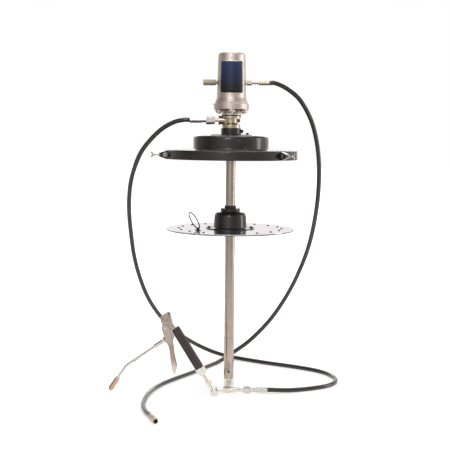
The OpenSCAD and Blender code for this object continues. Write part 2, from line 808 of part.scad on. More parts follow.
module motor_cylinder() {
    z_step = z_valve + valve_block_h;
    color("#bab5ad") difference() {
        union() {
            turned([[0, z_base, 0], [flange_r, z_base, cover_t / 2],
                [flange_r, z_base + flange_t, flange_t / 3],
                [motor_r + cover_t, z_base + flare_h, flare_h / 2],
                [motor_r, z_base + 1.5 * flare_h, flare_h], [motor_top_r, z_motor_top, crown_round],
                [0, z_motor_top, 0]]);
            translate([0, 0, z_motor_top - cut]) cylinder(r = crown_plug_r, h = cut + crown_plug_h);
        }
        translate([0, 0, z_base - cut]) cylinder(r = motor_bore_r, h = z_step - z_base + cut);
        translate([0, 0, z_base]) cylinder(r = valve_seat_r, h = z_crown_bore - z_base);
        base_bolt_places() translate([0, 0, z_base - cut])
            cylinder(r = bolt_r + fit, h = bolt_bite + 2 * cut, $fn = 32);
        along_x(0, z_port) cylinder(r = port_r + fit, h = 2 * motor_r);
        against_x(0, z_port) cylinder(r = port_r + fit, h = 2 * motor_r);
    }
}
module exhaust_muffler() {
    from = motor_bore_r + gap;
    neck = motor_r - from + air_nipple_out;
    color("#8d8379") against_x(-from, z_port) {
        cylinder(r = port_r, h = motor_r - from - 1);
        cylinder(r = air_thread_r, h = neck + cut);
        translate([0, 0, neck]) turned([[0, 0, 0], [muffler_r, 0, 1], [muffler_r, muffler_l, 1.5],
            [0, muffler_l, 0]]);
    }
}
module air_inlet_nipple() {
    from = motor_bore_r + gap;
    out = motor_r - from;
    color("#c8b27a") along_x(from, z_port) difference() {
        union() {
            cylinder(r = port_r, h = out - 1);
            cylinder(r = air_nipple_r, h = out + cover_t);
            cylinder(r = air_thread_r, h = out + cover_t + air_thread_l);
        }
        translate([0, 0, -cut])
            cylinder(r = air_thread_r / 2, h = out + cover_t + air_thread_l + 2 * cut);
    }
}
module inlet_swivel_nut() {
    color("#b9b6af") along_x(motor_r + cover_t + gap, z_port) difference() {
        hexagon(air_nut_af, air_nut_l, nut_chamfer / 2);
        translate([0, 0, -cut]) cylinder(r = air_thread_r + fit, h = air_nut_l + 2 * cut);
    }
}

// Air valve above the piston, shifted by the trip rod at each end of the stroke
module air_valve_block() {
    color("#9b9da1") difference() {
        translate([0, 0, z_valve]) cylinder(r = motor_bore_r - fit, h = valve_block_h - gap);
        translate([0, 0, z_valve - cut]) cylinder(r = spool_r + fit, h = valve_block_h + 2 * cut);
        along_x(-motor_r, z_port) cylinder(r = outlet_bore_r, h = 2 * motor_r, $fn = 32);
    }
}
module air_valve_spool() {
    color("#d8d4c8") difference() {
        translate([0, 0, z_valve + gap]) cylinder(r = spool_r, h = spool_l);
        translate([0, 0, z_valve]) cylinder(r = trip_r + 2 * gap, h = spool_l + cut);
        for (k = [1, 2]) translate([0, 0, z_valve + gap + k * spool_l / 3 - spool_groove])
            difference() {
                cylinder(r = spool_r + cut, h = 2 * spool_groove);
                cylinder(r = spool_r - spool_groove, h = 2 * spool_groove);
            }
    }
}
module air_piston() {
    color("#a9abb0") translate([0, 0, z_piston]) difference() {
        cylinder(r = motor_bore_r - gap, h = piston_h);
        translate([0, 0, -cut]) cylinder(r = rod_neck_r + fit, h = piston_h + 2 * cut);
        translate([0, 0, (piston_h - piston_seal_h) / 2]) difference() {
            cylinder(r = motor_bore_r + cut, h = piston_seal_h);
            cylinder(r = motor_bore_r - seal_groove_depth, h = piston_seal_h);
        }
    }
}
module piston_seal() {
    color("#252527") translate([0, 0, z_piston + (piston_h - piston_seal_h) / 2]) difference() {
        cylinder(r = motor_bore_r - fit, h = piston_seal_h);
        translate([0, 0, -cut])
            cylinder(r = motor_bore_r - seal_groove_depth, h = piston_seal_h + 2 * cut);
    }
}
module piston_rod() {
    z_piston_top = z_piston + piston_h;
    z_end = z_pump_piston + pump_piston_h;
    color("#cfd0d2") {
        translate([0, 0, z_end]) cylinder(r = rod_neck_r, h = z_piston_top - z_end);
        translate([0, 0, z_adapter - rod_neck_drop])
            cylinder(r = rod_r, h = z_piston - z_adapter + rod_neck_drop);
        translate([0, 0, z_piston_top - cut]) cylinder(r = trip_r, h = z_trip_head - z_piston_top + cut);
        translate([0, 0, z_piston_top]) cylinder(r = trip_collar_r, h = trip_collar_h - gap);
        translate([0, 0, z_trip_head]) cylinder(r = trip_head_r, h = trip_head_h);
    }
}

// Pump tube, pump cylinder and foot, all one pipe line
module pipe(z, l, r, bore) {
    translate([0, 0, z]) difference() {
        cylinder(r = r, h = l);
        translate([0, 0, -cut]) cylinder(r = bore, h = l + 2 * cut);
    }
}
module suction_tube() {
    color("#a79f94") pipe(z_cylinder, tube_l, tube_r, tube_bore_r);
}
module pump_cylinder() {
    color("#a0988c") difference() {
        pipe(z_sleeve, cylinder_l, tube_r, tube_bore_r);
        for (z = [z_sleeve, z_cylinder - joint_groove_h]) translate([0, 0, z]) difference() {
            translate([0, 0, -cut]) cylinder(r = tube_r + cut, h = joint_groove_h + cut);
            translate([0, 0, -cut]) cylinder(r = tube_r - joint_groove, h = joint_groove_h + 2 * cut);
        }
    }
}
module foot_sleeve() {
    z_seat = z_sleeve - foot_seat_drop - foot_seat_t;
    slot_top = z_sleeve - slot_drop;
    color("#8b857c") difference() {
        union() {
            pipe(z_nose, sleeve_l, foot_r, tube_bore_r);
            translate([0, 0, z_seat]) cylinder(r = tube_bore_r + cut, h = foot_seat_t);
        }
        translate([0, 0, z_seat - cut]) cylinder(r = foot_seat_r, h = foot_seat_t + 2 * cut);
        around(4) translate([0, 0, slot_top]) rotate([0, 90, 0]) {
            translate([slot_w / 2, 0, 0]) cylinder(r = slot_w / 2, h = 2 * foot_r, $fn = 32);
            translate([slot_l - slot_w / 2, 0, 0])
                cylinder(r = slot_w / 2, h = 2 * foot_r, $fn = 32);
            translate([slot_w / 2, -slot_w / 2, 0]) cube([slot_l - slot_w, slot_w, 2 * foot_r]);
        }
    }
}
module foot_nose() {
    color("#d4d1cb") difference() {
        translate([0, 0, z_foot]) turned([[0, 0, 0], [foot_r, 0, 3], [foot_r, nose_l, 0.5],
            [0, nose_l, 0]]);
        translate([0, 0, z_foot - cut]) cylinder(r = tube_bore_r, h = nose_l + 2 * cut);
    }
}

// Moving parts inside the pump: piston with ports and check plate, priming rod, foot check
module piston_ports(z, h) {
    around(4) translate([piston_port_circle, 0, z - cut])
        cylinder(r = piston_port_r, h = h + 2 * cut, $fn = 24);
}
module pump_piston() {
    color("#c1c3c6") translate([0, 0, z_pump_piston]) difference() {
        cylinder(r = tube_bore_r - fit, h = pump_piston_h);
        translate([0, 0, web_t])
            cylinder(r = check_r + gap, h = pump_piston_h - web_t - crown_web_t);
        piston_ports(0, web_t);
        piston_ports(pump_piston_h - crown_web_t, crown_web_t);
        for (z = [pump_piston_h / 3, 2 * pump_piston_h / 3]) translate([0, 0, z]) difference() {
            cylinder(r = tube_bore_r + cut, h = joint_groove_h);
            cylinder(r = tube_bore_r - 2 * joint_groove, h = joint_groove_h);
        }
    }
}
module piston_check() {
    color("#b58a4a") translate([0, 0, z_pump_piston + web_t + fit])
        cylinder(r = check_r, h = check_t);
}
module priming_rod() {
    z_disc = z_foot + prime_disc_rise;
    color("#cfd0d2") {
        translate([0, 0, z_disc]) cylinder(r = prime_r, h = z_pump_piston - z_disc);
        translate([0, 0, z_disc]) cylinder(r = tube_bore_r - gap, h = prime_disc_t);
    }
}
module foot_check() {
    color("#b58a4a") translate([0, 0, z_sleeve - foot_seat_drop + fit]) difference() {
        cylinder(r = foot_check_r, h = foot_check_t);
        translate([0, 0, -cut]) cylinder(r = prime_r + fit, h = foot_check_t + 2 * cut);
    }
}

// Follower: plate, rubber wiper and its clamp ring, rivets, bell, seals and bolts
module rivet_places() {
    around(rivet_count) translate([rivet_circle_r, 0, 0]) children();
}
module follower_plate() {
    color("#d9d6dc") difference() {
        translate([0, 0, z_plate_foot]) turned([[0, 0, 0], [follower_r, 0, follower_t / 3],
            [follower_r, follower_t, follower_t / 3], [0, follower_t, 0]]);
        translate([0, 0, z_plate_foot - cut])
            cylinder(r = tube_r + 3 * gap, h = follower_t + 2 * cut);
        rivet_places() translate([0, 0, z_plate_foot - cut])
            cylinder(r = rivet_r + fit, h = follower_t + 2 * cut, $fn = 24);
        around(hub_bolt_count) translate([hub_bolt_circle_r, 0, z_plate_foot - cut])
            cylinder(r = hub_bolt_r + fit, h = follower_t + 2 * cut, $fn = 24);
    }
}
module follower_wiper() {
    color("#303032") difference() {
        translate([0, 0, z_plate_foot - wiper_t]) turned([[wiper_inner_r, 0, 1],
            [follower_r - wiper_t, 0, 1], [follower_r, wiper_t, 0.5], [wiper_inner_r, wiper_t, 0]]);
        rivet_places() translate([0, 0, z_plate_foot - wiper_t - cut])
            cylinder(r = rivet_r + fit, h = wiper_t + 2 * cut, $fn = 24);
    }
}
module wiper_ring() {
    z = z_plate_foot - wiper_t - wiper_ring_t;
    color("#9a9a9c") difference() {
        translate([0, 0, z]) cylinder(r = rivet_circle_r + wiper_ring_w, h = wiper_ring_t);
        translate([0, 0, z - cut])
            cylinder(r = rivet_circle_r - wiper_ring_w, h = wiper_ring_t + 2 * cut);
        rivet_places() translate([0, 0, z - cut])
            cylinder(r = rivet_r + fit, h = wiper_ring_t + 2 * cut, $fn = 24);
    }
}
module follower_rivets() {
    stack = follower_t + wiper_t + wiper_ring_t;
    color("#2c2c30") rivet_places() {
        translate([0, 0, z_plate]) turned([[0, 0, 0], [rivet_head_r, 0, 0],
            [rivet_head_r * 0.7, rivet_head_h, rivet_head_h / 3], [0, rivet_head_h, 0]], $fn = 24);
        translate([0, 0, z_plate - stack]) cylinder(r = rivet_r, h = stack + gap, $fn = 24);
        translate([0, 0, z_plate - stack - rivet_head_h / 2])
            cylinder(r = rivet_head_r * 0.8, h = rivet_head_h / 2, $fn = 24);
    }
}
module follower_hub() {
    bell_top = hub_flange_t + bell_h - 2;
    color("#1b1a1c") translate([0, 0, z_plate]) difference() {
        turned([[tube_r + hub_gap, bell_top + step_h, 0], [step_r, bell_top + step_h, 1.5],
            [step_r, bell_top, 1.5], [bell_top_r, bell_top, bell_round],
            [bell_r, hub_flange_t, 3], [hub_flange_r, hub_flange_t, 0.5], [hub_flange_r, 0, 0],
            [bell_r - bell_wall, 0, 0], [bell_top_r - bell_wall, bell_top - bell_wall, bell_round - bell_wall],
            [tube_r + hub_gap, bell_top - bell_wall, 0]]);
        around(hub_bolt_count) translate([hub_bolt_circle_r, 0, -cut])
            cylinder(r = hub_bolt_r + fit, h = hub_flange_t + 2 * cut, $fn = 24);
    }
}
module hub_seals() {
    z_step = z_plate + hub_flange_t + bell_h - 2 + step_h;
    color("#29292b") {
        translate([0, 0, z_step]) turned([[tube_r + hub_gap, 0, 0], [neck_r, 0, 0],
            [neck_r, neck_h, 1], [tube_r + hub_gap, neck_h, 0]]);
        translate([0, 0, z_plate_foot - hub_seal_t]) turned([[tube_r + hub_gap, 0, 0],
            [tube_r + seal_lip, 0, 0], [hub_seal_r, hub_seal_t - seal_lip, 1],
            [hub_seal_r, hub_seal_t, 0], [tube_r + hub_gap, hub_seal_t, 0]]);
    }
}
module hub_bolts() {
    color("#232326") around(hub_bolt_count) translate([hub_bolt_circle_r, 0, z_plate]) {
        translate([0, 0, hub_flange_t]) hexagon(hub_bolt_head, hub_bolt_head_h, nut_chamfer / 2);
        translate([0, 0, -follower_t]) cylinder(r = hub_bolt_r, h = follower_t + hub_flange_t + gap,
            $fn = 24);
        translate([0, 0, -follower_t - hub_bolt_head_h])
            hexagon(hub_bolt_head, hub_bolt_head_h, nut_chamfer / 2);
    }
}
module eye_frame() {
    translate([eye_x, eye_y, z_plate]) rotate([0, 0, eye_turn]) children();
}
module pull_ring_eye() {
    axle_h = eye_foot_t + eye_r;
    color("#2a2a2c") eye_frame() difference() {
        union() {
            translate([-eye_foot_l / 2, -eye_foot_w / 2, 0]) cube([eye_foot_l, eye_foot_w, eye_foot_t]);
            translate([-eye_w / 2, -eye_r, 0]) cube([eye_w, 2 * eye_r, axle_h]);
            translate([-eye_w / 2, 0, axle_h]) rotate([0, 90, 0]) cylinder(r = eye_r, h = eye_w);
        }
        translate([-eye_w, 0, axle_h]) rotate([0, 90, 0])
            cylinder(r = pull_wire_r + fit, h = 2 * eye_w);
    }
}
module pull_ring() {
    half_open = asin(axle_half / pull_ring_r);
    color("#1f1f21") eye_frame() translate([0, 0, eye_foot_t + eye_r]) rotate([ring_lean, 0, 0]) {
        translate([0, 0, pull_ring_r * cos(half_open)]) rotate([90, 0, 0])
            rotate([0, 0, half_open - 90]) rotate_extrude(angle = 360 - 2 * half_open)
                translate([pull_ring_r, 0]) circle(r = pull_wire_r, $fn = 24);
        translate([-axle_half, 0, 0]) rotate([0, 90, 0]) cylinder(r = pull_wire_r, h = 2 * axle_half);
        for (s = [-1, 1]) translate([s * axle_half, 0, 0]) sphere(r = pull_wire_r, $fn = 24);
    }
}

// Hoses with their pressed ferrules
module grease_hose() {
    color("#3a3839") swept(grease_route, hose_r, hose_sides);
}
module air_hose() {
    color("#3a3839") swept(air_route, hose_r, hose_sides);
}
module hose_tail(stem, stem_rad, collar, collar_rad) {
    translate([0, 0, 0]) cylinder(r = stem_rad, h = stem);
    translate([0, 0, stem - collar]) cylinder(r = collar_rad, h = collar);
}
module grease_hose_ferrules() {
    from = outlet_reach + nipple_neck + jam_h + gap + thread_l + gap;
    to = -grease_route[0][0];
    color("#c4c1b8") {
        against_x(-from, z_outlet) {
            hose_tail(to - ferrule_l - from, stem_r, to - ferrule_l - from - nut_l + thread_l - gap,
                collar_r);
            translate([0, 0, to - ferrule_l - from]) crimped(ferrule_r, ferrule_l);
        }
        translate([inline_end_x, inline_y, inline_z]) rotate([0, -90, 0]) {
            crimped(ferrule_r, inline_ferrule_l);
            translate([0, 0, inline_ferrule_l]) cylinder(r = collar_r, h = inline_stem_l);
            translate([0, 0, inline_ferrule_l + inline_stem_l]) hexagon(inline_nut_af, inline_nut_l);
            translate([0, 0, inline_ferrule_l + inline_stem_l + inline_nut_l])
                cylinder(r = inline_band_r, h = inline_ring_l);
            translate([0, 0, inline_ferrule_l + inline_stem_l + inline_nut_l + inline_ring_l])
                cylinder(r = inline_core_r, h = inline_band_l + inline_body_l / 2);
        }
    }
}
module air_hose_ferrule() {
    from = motor_r + 2 * cover_t + gap + air_thread_l;
    to = air_route[0][0];
    color("#c3ab6a") along_x(from, z_port) {
        cylinder(r = air_stem_r, h = to - air_ferrule_l - from);
        translate([0, 0, to - air_ferrule_l - from]) crimped(air_ferrule_r, air_ferrule_l);
    }
}
module air_end_fitting() {
    end = air_route[len(air_route) - 1];
    way = end - air_route[len(air_route) - 2];
    color("#b9a16a") translate(end) rotate([0, 0, atan2(way[1], way[0])]) rotate([0, 90, 0])
        difference() {
            union() {
                crimped(end_ferrule_r, end_ferrule_l);
                translate([0, 0, end_ferrule_l]) hexagon(end_hex_af, end_hex_l, nut_chamfer / 2);
                translate([0, 0, end_ferrule_l + end_hex_l])
                    turned([[0, 0, 0], [end_mouth_r, 0, 0], [end_mouth_r, end_mouth_l, 1],
                        [0, end_mouth_l, 0]]);
            }
            translate([0, 0, end_ferrule_l + end_hex_l + end_mouth_l - end_bore_l])
                cylinder(r = end_bore_r, h = end_bore_l + cut);
        }
}

// Swivel at the gun: a body that turns on the hose's end, and a cross pin for the gun
module inline_swivel() {
    from = inline_end_x - inline_ferrule_l - inline_stem_l - inline_nut_l - inline_ring_l - gap;
    to = from - swivel_x;
    knuckle_l = inline_y + swivel_knuckle_r - gun_y - swivel_boss_l / 2 - gap;
    color("#c6c4be") difference() {
        union() {
            translate([from, inline_y, inline_z]) rotate([0, -90, 0]) {
                cylinder(r = inline_band_r, h = inline_band_l);
                translate([0, 0, inline_band_l]) turned([[0, 0, 0], [inline_body_r, 0, 0.8],
                    [inline_body_r, inline_body_l, 0.8], [0, inline_body_l, 0]]);
                translate([0, 0, inline_band_l + inline_body_l])
                    hexagon(inline_dome_af, inline_dome_l, 2 * nut_chamfer);
                cylinder(r = inline_band_r, h = to);
            }
            translate([swivel_x, inline_y + swivel_knuckle_r, inline_z]) rotate([90, 0, 0])
                turned([[0, 0, 0], [swivel_knuckle_r, 0, 3], [swivel_knuckle_r, knuckle_l, 1],
                    [0, knuckle_l, 0]]);
            translate([swivel_x, inline_y, inline_z]) rotate([90, 0, 0])
                cylinder(r = swivel_pin_r, h = inline_y - gun_y + swivel_boss_l / 2 - 2);
        }
        translate([from + cut, inline_y, inline_z]) rotate([0, -90, 0])
            cylinder(r = inline_core_r + fit, h = inline_band_l + inline_body_l / 2 + 2 * cut);
    }
}

// Everything on the gun is placed up its handle (u) and forwards of it (v)
module gun_frame() {
    translate([swivel_x, gun_y, inline_z]) rotate([0, gun_lean, 0]) children();
}
module side_cut(w) {
    mirror([1, 0, 0]) rotate([90, 0, 0]) linear_extrude(height = w, center = true) children();
}
module forward(v, u) {
    translate([-v, 0, u]) rotate([0, -90, 0]) children();
}
module gun_stem() {
    color("#bdbbb5") gun_frame() difference() {
        union() {
            rotate([90, 0, 0]) translate([0, 0, -swivel_boss_l / 2])
                turned([[0, 0, 0], [swivel_r, 0, 1.5], [swivel_r, swivel_boss_l, 2.5],
                    [0, swivel_boss_l, 0]]);
            cylinder(r = stem_tube_r, h = stem_top);
            translate([0, 0, stem_hex_u]) hexagon(stem_hex_af, stem_hex_l);
        }
        rotate([90, 0, 0]) translate([0, 0, -swivel_boss_l / 2 - cut])
            cylinder(r = swivel_pin_r + fit, h = swivel_boss_l - 1);
    }
}
module handle_tube() {
    color("#b5b0a6") gun_frame() {
        translate([0, 0, grip_u - gap - grip_nut_l]) hexagon(grip_nut_af, grip_nut_l, 2);
        translate([0, 0, stem_top]) hexagon(grip_nut_low_af, grip_u - stem_top - grip_nut_l, 1);
        translate([0, 0, stem_top]) cylinder(r = handle_r, h = handle_top - stem_top);
        translate([-spigot_v, 0, handle_top - cut]) cylinder(r = spigot_r, h = spigot_l + cut);
    }
}
module grip_sleeve() {
    color("#262427") gun_frame() difference() {
        translate([0, 0, grip_u]) turned([[0, 0, 0], [grip_r, 0, grip_round / 4],
            [grip_r, grip_l, grip_round], [0, grip_l, 0]]);
        translate([0, 0, grip_u - cut]) cylinder(r = handle_r + fit, h = handle_top + fit - grip_u + cut);
        translate([-spigot_v, 0, handle_top]) cylinder(r = spigot_r + fit, h = grip_round + cut);
        around(grip_ridges, 180 / grip_ridges) translate([grip_r + grip_ridge_r / 2, 0, grip_u + grip_round])
            cylinder(r = grip_ridge_r, h = grip_l - 2.5 * grip_round, $fn = 16);
    }
}
module outlet_frame() {
    gun_frame() translate([-outlet_v, 0, outlet_u]) rotate([0, -90 - outlet_tilt, 0]) children();
}
module plug_frame() {
    translate([-plug_v, 0, plug_u]) rotate([0, plug_tilt, 0]) children();
}
module valve_body() {
    color("#aaa59d") difference() {
        union() {
            gun_frame() side_cut(head_w) polygon(rounded(from_top(head_outline)));
            gun_frame() side_cut(snout_w) polygon(rounded(from_top(snout_outline)));
            outlet_frame() translate([0, 0, -outlet_v / 2])
                cylinder(r = outlet_boss_r, h = outlet_v / 2 - 1);
            outlet_frame() translate([0, 0, -4]) turned([[0, 0, 0], [outlet_boss_r - 1, 0, 0],
                [outlet_boss_r - 1, 4, 1], [0, 4, 0]]);
        }
        gun_frame() {
            translate([-spigot_v, 0, 0]) cylinder(r = spigot_r + fit, h = handle_top + spigot_l);
            translate([-spigot_v, 0, 0]) cylinder(r = outlet_bore_r / 2, h = plug_u - plug_r);
            forward(spring_seat, stem_u)
                cylinder(r = stem_collar_r + fit, h = stem_collar + stem_collar_t - spring_seat);
            forward(spring_seat, stem_u) cylinder(r = stem_pin_r + fit, h = outlet_v);
            translate([-pivot_v, 0, pivot_u]) rotate([90, 0, 0])
                cylinder(r = pivot_r + fit, h = 2 * head_w, center = true);
            plug_frame() translate([0, 0, -plug_in]) cylinder(r = plug_r / 2 + fit, h = plug_in + cut);
            for (s = [-1, 1]) for (k = [0 : rib_count - 2])
                translate([-head_top / 8, s * head_w / 2 - rib_depth, rib_u + k * rib_pitch])
                    mirror([0, s < 0 ? 1 : 0, 0]) translate([0, s < 0 ? -2 * rib_depth : 0, 0])
                        cube([head_top / 8 - plug_r, 2 * rib_depth, rib_w]);
        }
        outlet_frame() translate([0, 0, -outlet_v / 2])
            cylinder(r = extension_r + fit, h = outlet_v);
    }
}
module valve_plug() {
    color("#1c1b1d") gun_frame() plug_frame() {
        hexagon(plug_r * sqrt(3), plug_out, nut_chamfer / 2);
        translate([0, 0, gap - plug_in]) cylinder(r = plug_r / 2, h = plug_in);
    }
}
module valve_stem() {
    color("#d0cfcb") gun_frame() {
        forward(stem_collar, stem_u)
            turned([[0, 0, 0], [stem_pin_r, 0, 0], [stem_pin_r, stem_tip - stem_collar, 1.5],
                [0, stem_tip - stem_collar, 0]]);
        forward(stem_tail, stem_u) cylinder(r = stem_tail_r, h = stem_collar - stem_tail + cut);
        forward(stem_collar, stem_u) cylinder(r = stem_collar_r, h = stem_collar_t);
    }
}
module valve_spring() {
    per_turn = 8;
    steps = spring_turns * per_turn;
    coil = [for (i = [0 : steps]) [spring_r * cos(360 * i / per_turn),
        spring_r * sin(360 * i / per_turn), spring_wire_r + (spring_l - 2 * spring_wire_r) * i / steps]];
    color("#8d9096") gun_frame() forward(spring_seat, stem_u) swept(coil, spring_wire_r, 6);
}
module lever() {
    inner_w = lever_w - 2 * lever_t;
    color("#b8a797") gun_frame() difference() {
        side_cut(lever_w) polygon(rounded(from_top(lever_outline)));
        translate([lever_t, 0, 0]) side_cut(inner_w) polygon(rounded(from_top(lever_outline)));
        translate([-outlet_v, -inner_w / 2, head_top - lever_slot_drop])
            cube([outlet_v, inner_w, lever_slot_l]);
        translate([-stem_collar, -inner_w / 2, pivot_u]) cube([stem_collar, inner_w, pivot_r * 6]);
        translate([-outlet_v, -inner_w / 2, head_top - lever_web_drop])
            cube([outlet_v, inner_w, pivot_r * 6]);
        translate([-pivot_v, 0, pivot_u]) rotate([90, 0, 0])
            cylinder(r = pivot_r + fit, h = 2 * lever_w, center = true);
    }
}
module lever_pin() {
    color("#8e8d8c") gun_frame() translate([-pivot_v, 0, pivot_u]) rotate([90, 0, 0]) {
        cylinder(r = pivot_r, h = lever_w + 2 * gap, center = true);
        for (s = [0, 1]) mirror([0, 0, s]) translate([0, 0, lever_w / 2 + gap])
            cylinder(r = pivot_head_r, h = pivot_head_t);
    }
}

// Delivery tube with its nut, and the coupler that bites on a grease nipple
module bend_frame() {
    outlet_frame() translate([-bend_r, 0, extension_l]) rotate([0, -bend_angle, 0])
        translate([bend_r, 0, extension_tip_l]) children();
}
module extension_tube() {
    half = bend_r * tan(bend_angle / 4);
    color("#bdb9b0") {
        outlet_frame() {
            translate([0, 0, -plug_in]) cylinder(r = extension_r, h = extension_l + plug_in + half);
            translate([0, 0, ext_nut_from]) hexagon(ext_nut_af, ext_nut_l, nut_chamfer / 2);
            translate([0, 0, extension_l + half]) {
                sphere(r = extension_r + fit);
                rotate([0, -bend_angle / 2, 0]) cylinder(r = extension_r, h = 2 * half);
            }
        }
        bend_frame() translate([0, 0, -extension_tip_l - half]) {
            sphere(r = extension_r + fit);
            cylinder(r = extension_r, h = extension_tip_l + half);
        }
    }
}
module coupler_body() {
    color("#a98a74") bend_frame() difference() {
        union() {
            hexagon(coupler_nut_af, coupler_nut_l, nut_chamfer / 2);
            cylinder(r = coupler_core_r, h = coupler_l);
            translate([0, 0, coupler_l - coupler_nose_l]) turned([[0, 0, 0],
                [coupler_nose_r, 0, 0], [coupler_core_r - gap, coupler_nose_l, 0.5],
                [0, coupler_nose_l, 0]]);
        }
        translate([0, 0, coupler_l - coupler_mouth_l])
            cylinder(r = coupler_mouth_r, h = coupler_mouth_l + cut);
    }
}
module coupler_sleeve() {
    l = coupler_l - coupler_nut_l - coupler_nose_l - 2 * gap;
    color("#b0785c") bend_frame() translate([0, 0, coupler_nut_l + gap]) difference() {
        turned([[0, 0, 0], [coupler_r, 0, 1], [coupler_r, l, 1], [0, l, 0]]);
        translate([0, 0, -cut]) cylinder(r = coupler_core_r + fit, h = l + 2 * cut);
        around(knurl_count, 180 / knurl_count) translate([coupler_r + knurl_r / 2, 0, l / 6])
            cylinder(r = knurl_r, h = 2 * l / 3, $fn = 16);
    }
}

drum_cover();
cover_gasket();
bung_adapter();
adapter_screw();
vent_plug();
clamp_screw(clamp_angles[0]);  // clamp_screw_1
clamp_screw(clamp_angles[1]);  // clamp_screw_2
clamp_screw(clamp_angles[2]);  // clamp_screw_3
throat_housing();
throat_packing();
packing_nut();
bleed_plug();
outlet_nipple();
outlet_swivel_nut();
motor_base();
motor_bolts();
motor_cylinder();
exhaust_muffler();
air_inlet_nipple();
inlet_swivel_nut();
air_valve_block();
air_valve_spool();
air_piston();
piston_seal();
piston_rod();
suction_tube();
pump_cylinder();
foot_sleeve();
foot_nose();
pump_piston();
piston_check();
priming_rod();
foot_check();
follower_plate();
follower_wiper();
wiper_ring();
follower_rivets();
follower_hub();
hub_seals();
hub_bolts();
pull_ring_eye();
pull_ring();
grease_hose();
grease_hose_ferrules();
air_hose();
air_hose_ferrule();
air_end_fitting();
inline_swivel();
gun_stem();
handle_tube();
grip_sleeve();
valve_body();
valve_plug();
valve_stem();
valve_spring();
lever();
lever_pin();
extension_tube();
coupler_body();
coupler_sleeve();
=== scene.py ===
"""Looks of the air-operated grease pump: camera, hoses, materials, fine pieces, floor and light."""
import bpy
import json
import math
from mathutils import Matrix, Vector


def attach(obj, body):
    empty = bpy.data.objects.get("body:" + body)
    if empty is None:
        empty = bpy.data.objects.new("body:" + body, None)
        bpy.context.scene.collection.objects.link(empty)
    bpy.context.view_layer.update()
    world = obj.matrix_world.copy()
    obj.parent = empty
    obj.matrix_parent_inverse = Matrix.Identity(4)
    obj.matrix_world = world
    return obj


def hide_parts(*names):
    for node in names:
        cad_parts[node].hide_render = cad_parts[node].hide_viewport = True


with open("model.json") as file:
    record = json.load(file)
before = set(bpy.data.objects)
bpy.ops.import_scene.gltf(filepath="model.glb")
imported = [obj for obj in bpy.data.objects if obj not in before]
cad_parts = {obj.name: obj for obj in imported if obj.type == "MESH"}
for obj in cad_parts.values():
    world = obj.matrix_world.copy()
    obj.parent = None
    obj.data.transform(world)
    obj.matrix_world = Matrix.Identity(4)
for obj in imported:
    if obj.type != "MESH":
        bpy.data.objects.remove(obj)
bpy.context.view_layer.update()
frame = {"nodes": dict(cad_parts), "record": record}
NODES = frame["nodes"]
scene = bpy.context.scene
MM_IN_M = 1000

# Camera, fitted to the ellipses of the cover and the follower
CAMERA_PLACE = (-0.0144, -2.640, 0.0491)
CAMERA_DOWN = 5.4716    # degrees that it looks down
CAMERA_ROLL = 0.563     # degrees

camera_data = bpy.data.cameras.new("camera")
camera_data.lens = 76
camera_data.sensor_width = 36
camera_data.clip_end = 60
camera = bpy.data.objects.new("camera", camera_data)
scene.collection.objects.link(camera)
camera.matrix_world = (
    Matrix.Translation(CAMERA_PLACE)
    @ Matrix.Rotation(math.radians(90 - CAMERA_DOWN), 4, "X")
    @ Matrix.Rotation(math.radians(CAMERA_ROLL), 4, "Z"))
scene.camera = camera

# Routes of the hoses, the same points as in the CAD source, in millimetres
GREASE_ROUTE = [
    (-114, 0, 87), (-132, 0, 87), (-160, 5, 80), (-193, 13, 61), (-226, 25, 30),
    (-253, 39, -5), (-272, 57, -47), (-285, 77, -90), (-292, 99, -138), (-294, 122, -187),
    (-292, 149, -242), (-286, 178, -311), (-273, 207, -378), (-253, 234, -441),
    (-227, 261, -494), (-195, 286, -539), (-157, 309, -578), (-117, 327, -608),
    (-76, 341, -632), (-34, 349, -650), (6, 349, -660), (44, 335, -663.7),
    (81, 310, -663.7), (118, 286, -663.7), (155, 265, -663.7), (191, 245, -663.7),
    (227, 223, -663.7), (261, 198, -663.7), (289, 168, -663.7), (307, 132, -663.7),
    (314, 96, -663.7), (310, 62, -663.7), (296, 34, -663.7), (272, 10, -663.7),
    (240, -9, -663.7), (207, -24, -663.7), (172, -36, -663), (140, -44, -661),
    (122, -46, -660), (108, -46, -660)]
AIR_ROUTE = [
    (104, 0, 190), (119, 0, 190), (142, 2, 181), (165, 5, 167), (188, 11, 147),
    (209, 19, 117), (227, 30, 80), (240, 42, 36), (249, 58, -16), (253, 77, -70),
    (253, 99, -130), (249, 122, -186), (242, 147, -242), (231, 172, -296), (214, 198, -352),
    (192, 226, -410), (164, 251, -467), (132, 273, -520), (96, 291, -566), (60, 302, -603),
    (25, 306, -630), (-6, 300, -650), (-32, 282, -662), (-52, 253, -663.7),
    (-74, 214, -663.7), (-98, 173, -663.7), (-123, 132, -663.7), (-148, 93, -663.7),
    (-172, 54, -663.7), (-193, 13, -663.7), (-210, -34, -663.7), (-221, -87, -663.7),
    (-226, -143, -663.7), (-225, -200, -663.7), (-214, -252, -663), (-202, -284, -662),
    (-196.5, -299.5, -662)]
HOSE_R = 0.0063
HOSE_SIDES = 20
STEPS_A_POINT = 8


def smooth(points):
    """Catmull-Rom curve through the points, in metres."""
    p = [Vector(v) / MM_IN_M for v in points]
    p = [2 * p[0] - p[1]] + p + [2 * p[-1] - p[-2]]
    line = []
    for i in range(1, len(p) - 2):
        a, b, c, d = p[i - 1], p[i], p[i + 1], p[i + 2]
        for k in range(STEPS_A_POINT):
            t = k / STEPS_A_POINT
            line.append(0.5 * (2 * b + (c - a) * t + (2 * a - 5 * b + 4 * c - d) * t * t
                               + (3 * b - a - 3 * c + d) * t * t * t))
    line.append(p[-2])
    return line


